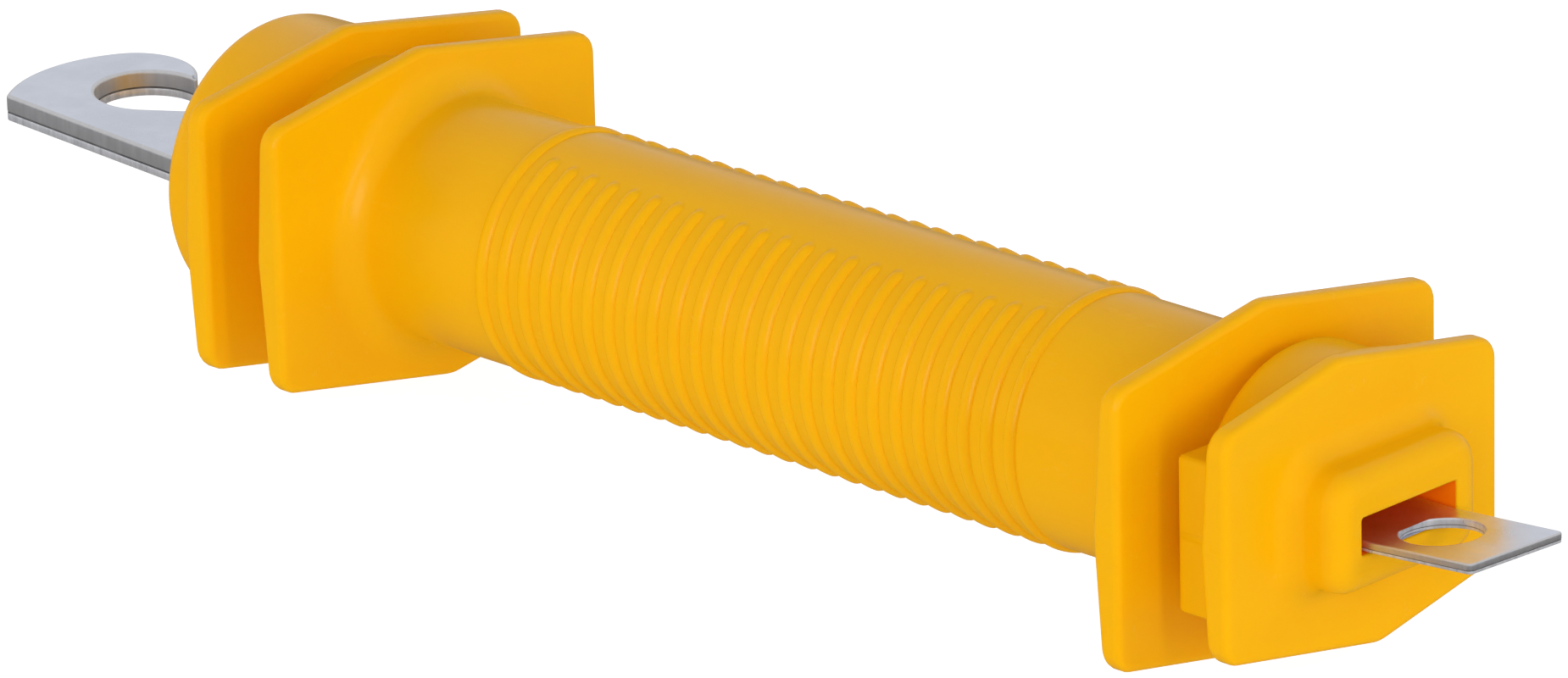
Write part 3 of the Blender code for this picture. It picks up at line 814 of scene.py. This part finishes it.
def sheet_profile(thick, roll):
    """Levels and insets of a sheared sheet's edge, from the bottom face to the top face."""
    torn = thick * TORN_SHARE
    half, deep = GROOVE_HALF * thick, GROOVE_DEPTH * thick
    levels = list(SHEET_FOOT)
    levels += [(torn - half, LOWER_BAND_INSET), (torn - half / 3, deep), (torn + half / 3, deep),
               (torn + half, 0.0)]
    levels += [(thick - roll * down, roll * inset) for down, inset in round_steps(5)]
    levels.append((thick, roll + SHEET_SUPPORT))
    return levels


def flat_bar(name, outline, holes, bottom, thick, roll, bend_x, tilt):
    """A sheet part with sheared edges; beyond bend_x it slopes upwards.

    holes are closed outlines. Both faces are filled in two parts that meet on the bend line.
    """
    def lift(p, level):
        beyond = max(0.0, (p[0] - bend_x) * math.copysign(1.0, bend_x))
        return (p[0], p[1], bottom + level + beyond * math.tan(tilt))

    def on_bend(p):
        return abs(p[0] - bend_x) < TINY

    def material_slot(row, is_hole):
        middle = (levels[row][0] + levels[row + 1][0]) / 2
        if row == 0 or row == len(levels) - 2:
            return FACE_SLOT
        # the groove's rows take the torn line's painted shade
        if abs(middle - torn) < GROOVE_HALF * thick:
            return TORN_SHADE_SLOT
        return BRIGHT_SLOT if is_hole or middle < torn else SHEARED_SLOT

    bm = bmesh.new()
    levels = sheet_profile(thick, roll)
    torn = thick * TORN_SHARE
    bottom_loops, top_loops = [], []
    for loop in [outline] + holes:
        is_hole = loop is not outline
        loop = counter_clockwise(loop)
        rows = []
        for level, inset in levels:
            moved = drawn_in(loop, -inset if is_hole else inset)
            moved = [(p[0] if on_bend(p) else q[0], q[1]) for p, q in zip(loop, moved)]
            rows.append([bm.verts.new(lift(p, level)) for p in moved])
        for row, (low, high) in enumerate(zip(rows, rows[1:])):
            for i in range(len(loop)):
                j = (i + 1) % len(loop)
                face = bm.faces.new((low[i], low[j], high[j], high[i]))
                face.material_index = material_slot(row, is_hole)
        bottom_loops.append(rows[0])
        top_loops.append(rows[-1])
        if not is_hole:
            first, last = [i for i, p in enumerate(loop) if on_bend(p)]
    for outer, *inner in (bottom_loops, top_loops):
        for part in (outer[first:last + 1], outer[last:] + outer[:first + 1]):
            xs = [v.co.x for v in part]
            inside = [h for h in inner if min(xs) < sum(v.co.x for v in h) / len(h) < max(xs)]
            edges = []
            for ring in [part] + inside:
                for pair in zip(ring, ring[1:] + ring[:1]):
                    edges.append(bm.edges.get(pair) or bm.edges.new(pair))
            bmesh.ops.triangle_fill(bm, edges=edges, use_beauty=True, use_dissolve=False)
    bmesh.ops.recalc_face_normals(bm, faces=bm.faces)
    bmesh.ops.scale(bm, vec=(MM, MM, MM), verts=bm.verts)
    mesh = bpy.data.meshes.new(name)
    bm.to_mesh(mesh)
    bm.free()
    for material in BAR_MATERIALS:
        mesh.materials.append(material)
    return shaded(name, mesh, sharp=48)


def dense(points):
    """Extra points along the straight sides of a closed outline."""
    out = []
    for p, q in zip(points, points[1:] + points[:1]):
        count = max(1, int(math.dist(p, q) / BAR_STEP))
        for k in range(count):
            out.append((p[0] + (q[0] - p[0]) * k / count, p[1] + (q[1] - p[1]) * k / count))
    return out


def notches(x, edge):
    """The notch that holds a retainer, in the bar's edge at this Y."""
    inner = edge - math.copysign(NOTCH_DEPTH, edge)
    low, high = x - NOTCH_LENGTH / 2, x + NOTCH_LENGTH / 2
    return [(low, edge), (low, inner), (high, inner), (high, edge)]


def hook_outline():
    """The hook from the shoulder's near edge round the tip and the throat to its far edge."""
    near, far = hook_low[1], HOOK_FAR_Y
    shoulder = DRUM_END_X - GAP
    back_centre = (hook_low[0] + HOOK_BACK_R, HOOK_BACK_Y)
    offset = HOOK_BACK_R - HOOK_ARM_R
    arm_centre = (back_centre[0] + offset * math.cos(HOOK_ARM_START),
                  back_centre[1] + offset * math.sin(HOOK_ARM_START))
    back_start = math.pi - math.asin((near - HOOK_BACK_Y) / HOOK_BACK_R)
    back = arc(back_centre, HOOK_BACK_R, back_start, HOOK_ARM_START, steps=34)
    arm = arc(arm_centre, HOOK_ARM_R, HOOK_ARM_START, HOOK_ARM_END, steps=30)
    throat = arc(THROAT_CENTRE, THROAT_R, THROAT_START, THROAT_END, steps=72)
    tip = nose(arm[-2:], throat[:2], TIP_PULL, steps=10)
    slope = math.tan(THROAT_END + math.pi / 2)
    lip_end = (throat[-1][0] + (far - throat[-1][1]) / slope, far)
    points = [(shoulder - SHOULDER_LEDGE, near)]
    points += round_corner((shoulder, near), back[0], back[1], SHOULDER_R, steps=6)
    points += back[1:] + arm[1:] + tip[1:-1] + throat
    points += round_corner(throat[-1], lip_end, (shoulder, far), LIP_R, steps=10)
    return points + [(shoulder - SHOULDER_LEDGE, far)]


def hook_bar():
    shoulder = DRUM_END_X - GAP
    tail = hook_high[0]
    retainer_x = tail - BAR_TAIL - RETAINER_THICK / 2
    half = BAR_HALF
    outline = [(shoulder, half)] + notches(retainer_x, half) + [(tail, half), (tail, -half)]
    outline += notches(retainer_x, -half)[::-1] + [(shoulder, -half)]
    outline += hook_outline()
    return flat_bar("hook_bar_steel", dense(outline), [], HOOK_BOTTOM, HOOK_THICK, HOOK_ROLL,
                    shoulder, HOOK_TILT)


def eye_bar():
    bend = BOSS_FACE_X + GAP
    tail = eye_low[0]
    retainer_x = tail + BAR_TAIL + RETAINER_THICK / 2
    half = BAR_HALF
    end = eye_high[0]
    low, high = (end - EYE_END_SKEW, -half), (end, half)
    outline = [(bend, -half)] + round_corner((bend, -half), low, high, EYE_CORNER_R, steps=5)
    outline += round_corner(low, high, (bend, half), EYE_CORNER_R, steps=5) + [(bend, half)]
    outline += notches(retainer_x, half)[::-1] + [(tail, half), (tail, -half)]
    outline += notches(retainer_x, -half)
    steps = EYE_HOLE_STEPS - 1
    hole = arc((BOSS_FACE_X + EYE_HOLE_FROM_BOSS, 0), EYE_HOLE_R, 0,
               math.tau * steps / EYE_HOLE_STEPS, steps)
    return flat_bar("eye_bar_steel", dense(outline), [hole], EYE_BOTTOM, EYE_THICK, EYE_ROLL,
                    bend, EYE_TILT)


# ---------------------------------------------------------------- spring pack
def tube_faces(rows, around):
    """Faces between rows of points that close on themselves, and both end faces."""
    faces = []
    for row in range(rows - 1):
        here, there = row * around, (row + 1) * around
        for i in range(around):
            j = (i + 1) % around
            faces.append((here + i, here + j, there + j, there + i))
    faces.append(tuple(range(around - 1, -1, -1)))
    faces.append(tuple(range((rows - 1) * around, rows * around)))
    return faces


def across_plate(name, outline, x, thick):
    """A small plate square to X, extruded from a (y, z) outline, with softened edges."""
    outline = counter_clockwise(outline)
    soft, flat = THIN_SOFT, THIN_SOFT + THIN_SUPPORT
    levels = [(0.0, flat), (0.0, soft), (soft, 0.0)]
    levels += [(thick - level, inset) for level, inset in levels[::-1]]
    points = []
    for level, inset in levels:
        points += [(x - thick / 2 + level, y, z) for y, z in drawn_in(outline, inset)]
    return make_piece(name, points, tube_faces(len(levels), len(outline)), [ZINC], sharp=50)


def middle_x(node):
    low, high = extent(node)
    return (low[0] + high[0]) / 2


def retainer(name, node, held, passing):
    """The C-shaped keeper: a disc with a mouth that fits its own bar's notches."""
    wide = BAR_HALF + GAP
    narrow = wide - NOTCH_DEPTH
    side = 1.0 if held[0] > passing[0] else -1.0
    far = passing[0] - GAP if side > 0 else passing[1] + GAP
    between = (held[0] + passing[1]) / 2 if side > 0 else (held[1] + passing[0]) / 2
    start = math.asin(narrow / RETAINER_R)
    right = [(narrow, between * side), (wide, between * side), (wide, far * side)]
    outline = arc((0, 0), RETAINER_R, math.pi / 2 + start, math.pi / 2 + math.tau - start,
                  steps=90)
    outline += right + [(-y, z) for y, z in right[::-1]]
    outline = [(y, z * side) for y, z in outline]
    return across_plate(name, outline, middle_x(node), RETAINER_THICK)


def thrust_washer(name, node):
    x = middle_x(node)
    window = rectangle_rim(BAR_HALF + GAP, EYE_LEVELS[0] - GAP, HOOK_LEVELS[1] + GAP,
                           WINDOW_CORNER_R)
    body = Moulding(angle_set(WASHER_POINTS, window.key_angles(3)))
    half, soft = THRUST_THICK / 2, THIN_SOFT
    hole = body.outline(window)
    body.several([(x - half + soft, THRUST_R), (x - half, THRUST_R - soft),
                  (x - half, hole + soft), (x - half + soft, hole),
                  (x + half - soft, hole), (x + half, hole + soft),
                  (x + half, THRUST_R - soft), (x + half - soft, THRUST_R)])
    return body.build(name, [ZINC])


def half_spring(name, first_half):
    """Half of the coil, so that each half could follow its own bar as it is squeezed; neither half
    is attached to a bar here.
    """
    low, high = spring_low[0] + WIRE_R, spring_high[0] - WIRE_R
    open_pitch = (high - low - 2 * CLOSED_PITCH) / (COIL_TURNS - 2)

    def centre(turn):
        start = min(turn, 1.0)
        finish = max(turn - (COIL_TURNS - 1), 0.0)
        x = low + (start + finish) * CLOSED_PITCH + (turn - start - finish) * open_pitch
        a = math.tau * turn
        return Vector((x, COIL_R * math.cos(a), COIL_R * math.sin(a)))

    total = COIL_TURNS * COIL_STEPS
    steps = range(0, total // 2 + 1) if first_half else range(total // 2, total + 1)
    points = []
    for i in steps:
        turn = i / COIL_STEPS
        a = math.tau * turn
        radial = Vector((0, math.cos(a), math.sin(a)))
        tangent = (centre(turn + 0.01) - centre(turn - 0.01)).normalized()
        side = radial.cross(tangent)
        for k in range(WIRE_SIDES):
            b = math.tau * k / WIRE_SIDES
            points.append(centre(turn) + (radial * math.cos(b) + side * math.sin(b)) * WIRE_R)
    return make_piece(name, points, tube_faces(len(steps), WIRE_SIDES), [SPRING], sharp=60)


# ---------------------------------------------------------------- assembly
def settle(piece, body, node):
    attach(piece, body)
    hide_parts(node)


grip_piece = grip()
settle(grip_piece, "handle", "grip_body")
settle(hook_cap(), "handle", "hook_end_cap")
settle(eye_cap(), "handle", "eye_end_cap")
settle(hook_bar(), "hook_drawbar", "hook_bar")
settle(eye_bar(), "eye_drawbar", "eye_bar")
for end, held, passing in (("hook", HOOK_LEVELS, EYE_LEVELS), ("eye", EYE_LEVELS, HOOK_LEVELS)):
    node = f"{end}_bar_retainer"
    settle(retainer(f"{end}_bar_keeper", node, held, passing), f"{end}_drawbar", node)
for end in ("hook", "eye"):
    node = f"{end}_bar_thrust_washer"
    settle(thrust_washer(f"{end}_bar_washer", node), f"{end}_drawbar", node)

# The first half of the coil lies on the hook's side and is pushed by the eye bar's washer; the
# halves are not attached to the bars here.
for side, body, end_x in (("hook", "eye_drawbar", spring_low[0]),
                          ("eye", "hook_drawbar", spring_high[0])):
    coil = half_spring(f"spring_half_{side}_side", side == "hook")
    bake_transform(coil)
    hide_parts("compression_spring")


# ---------------------------------------------------------------- stage, light, camera, metres
FLOOR_HALF = 6.0
FLOOR_GAP = 0.0002
FLOOR_GLOW_SEEN = 0.93        # brightness for the camera, for soft light and in mirrors
FLOOR_GLOW_CAST = 0.52
FLOOR_GLOW_MIRRORED = 0.02
HORIZON = 0.74
HORIZON_TOP = 0.4             # how high the bright band reaches, as the sine of its elevation
ZENITH = 0.34
ZENITH_MIRRORED = 0.72
KEY_PLACE = (0.88, -1.33, 0.45)
KEY_SIZE = (0.9, 0.7)
STRIP_PLACE = (1.45, -0.45, 0.4)
STRIP_SIZE = (0.12, 0.8)
STRIP_POWER = 3.0
CAMERA_PLACE = (0.81946, -0.81275, 0.41758)
CAMERA_TURN = (69.924, 1.351, 44.508)
CAMERA_LENS = 238.4


def stage_floor():
    """A pale sweep that glows a little, so that only a faint shadow shows on it."""
    low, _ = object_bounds()
    mesh = bpy.data.meshes.new("floor")
    corners = ((-1, -1), (1, -1), (1, 1), (-1, 1))
    mesh.from_pydata([(x * FLOOR_HALF, y * FLOOR_HALF, 0) for x, y in corners], [], [(0, 1, 2, 3)])
    floor = put_in_scene("floor", mesh)
    floor.location.z = low.z - FLOOR_GAP
    n = Nodes("floor")
    pale = n.mix(n.noise(3.0, 2.0), (0.29, 0.29, 0.29, 1), (0.31, 0.31, 0.31, 1))
    rays = n.add("ShaderNodeLightPath").outputs
    glow = n.ramp(rays["Is Camera Ray"], 0.0, 1.0, FLOOR_GLOW_CAST, FLOOR_GLOW_SEEN)
    glow = n.maths("SUBTRACT", glow, n.maths("MULTIPLY", rays["Is Glossy Ray"],
                                             FLOOR_GLOW_CAST - FLOOR_GLOW_MIRRORED))
    mesh.materials.append(n.finish(Base_Color=pale, Roughness=0.9, Specular_IOR_Level=0.0,
                                   Emission_Color=(1.0, 1.0, 1.0, 1), Emission_Strength=glow))


def soft_light(name, place, size, power, sheen_on=None):
    """An area light aimed at the object; with sheen_on it is only a reflection in that piece."""
    data = bpy.data.lights.new(name, "AREA")
    data.shape = "RECTANGLE"
    data.size, data.size_y = size
    data.energy = power
    lamp = put_in_scene(name, data)
    lamp.location = place
    lamp.rotation_euler = (-Vector(place)).to_track_quat("-Z", "Y").to_euler()
    lamp.visible_glossy = sheen_on is not None
    if sheen_on is not None:
        lamp.visible_diffuse = False
        lit = bpy.data.collections.new(name + "_receivers")
        lit.objects.link(sheen_on)
        lamp.light_linking.receiver_collection = lit


def studio_world():
    """A white studio, dimmer overhead; mirrors see more of the ceiling than soft light does."""
    world = bpy.data.worlds.new("studio")
    world.use_nodes = True
    bpy.context.scene.world = world
    tree = world.node_tree
    split = tree.nodes.new("ShaderNodeSeparateXYZ")
    tree.links.new(tree.nodes.new("ShaderNodeTexCoord").outputs["Generated"], split.inputs[0])
    rays = tree.nodes.new("ShaderNodeLightPath")
    ceiling = tree.nodes.new("ShaderNodeMapRange")
    ceiling.inputs["To Min"].default_value = ZENITH
    ceiling.inputs["To Max"].default_value = ZENITH_MIRRORED
    tree.links.new(rays.outputs["Is Glossy Ray"], ceiling.inputs["Value"])
    sky = tree.nodes.new("ShaderNodeMapRange")
    sky.inputs["From Min"].default_value = HORIZON_TOP
    sky.inputs["To Min"].default_value = HORIZON
    tree.links.new(split.outputs["Z"], sky.inputs["Value"])
    tree.links.new(ceiling.outputs["Result"], sky.inputs["To Max"])
    tree.links.new(sky.outputs["Result"], tree.nodes["Background"].inputs["Strength"])
    tree.nodes["Background"].inputs["Color"].default_value = (0.99, 0.99, 1.0, 1)


def camera():
    data = bpy.data.cameras.new("camera")
    data.sensor_width = 36.0
    data.lens = CAMERA_LENS
    data.clip_start, data.clip_end = 0.05, 50.0
    cam = put_in_scene("camera", data)
    cam.location = CAMERA_PLACE
    cam.rotation_euler = Euler([math.radians(turn) for turn in CAMERA_TURN])
    bpy.context.scene.camera = cam


stage_floor()
studio_world()
soft_light("left_softbox", (-1.2, -0.9, 0.5), (0.5, 0.6), 4.2)
soft_light("key_softbox", KEY_PLACE, KEY_SIZE, 6.6)
soft_light("sheen_softbox", KEY_PLACE, KEY_SIZE, 10.0, sheen_on=grip_piece)
soft_light("right_softbox", (1.5, 0.4, 0.6), (0.5, 0.5), 3.2)
soft_light("strip_softbox", STRIP_PLACE, STRIP_SIZE, STRIP_POWER)
soft_light("highlight_strip", STRIP_PLACE, STRIP_SIZE, STRIP_POWER, sheen_on=grip_piece)
camera()
bpy.context.scene.view_settings.view_transform = "Standard"
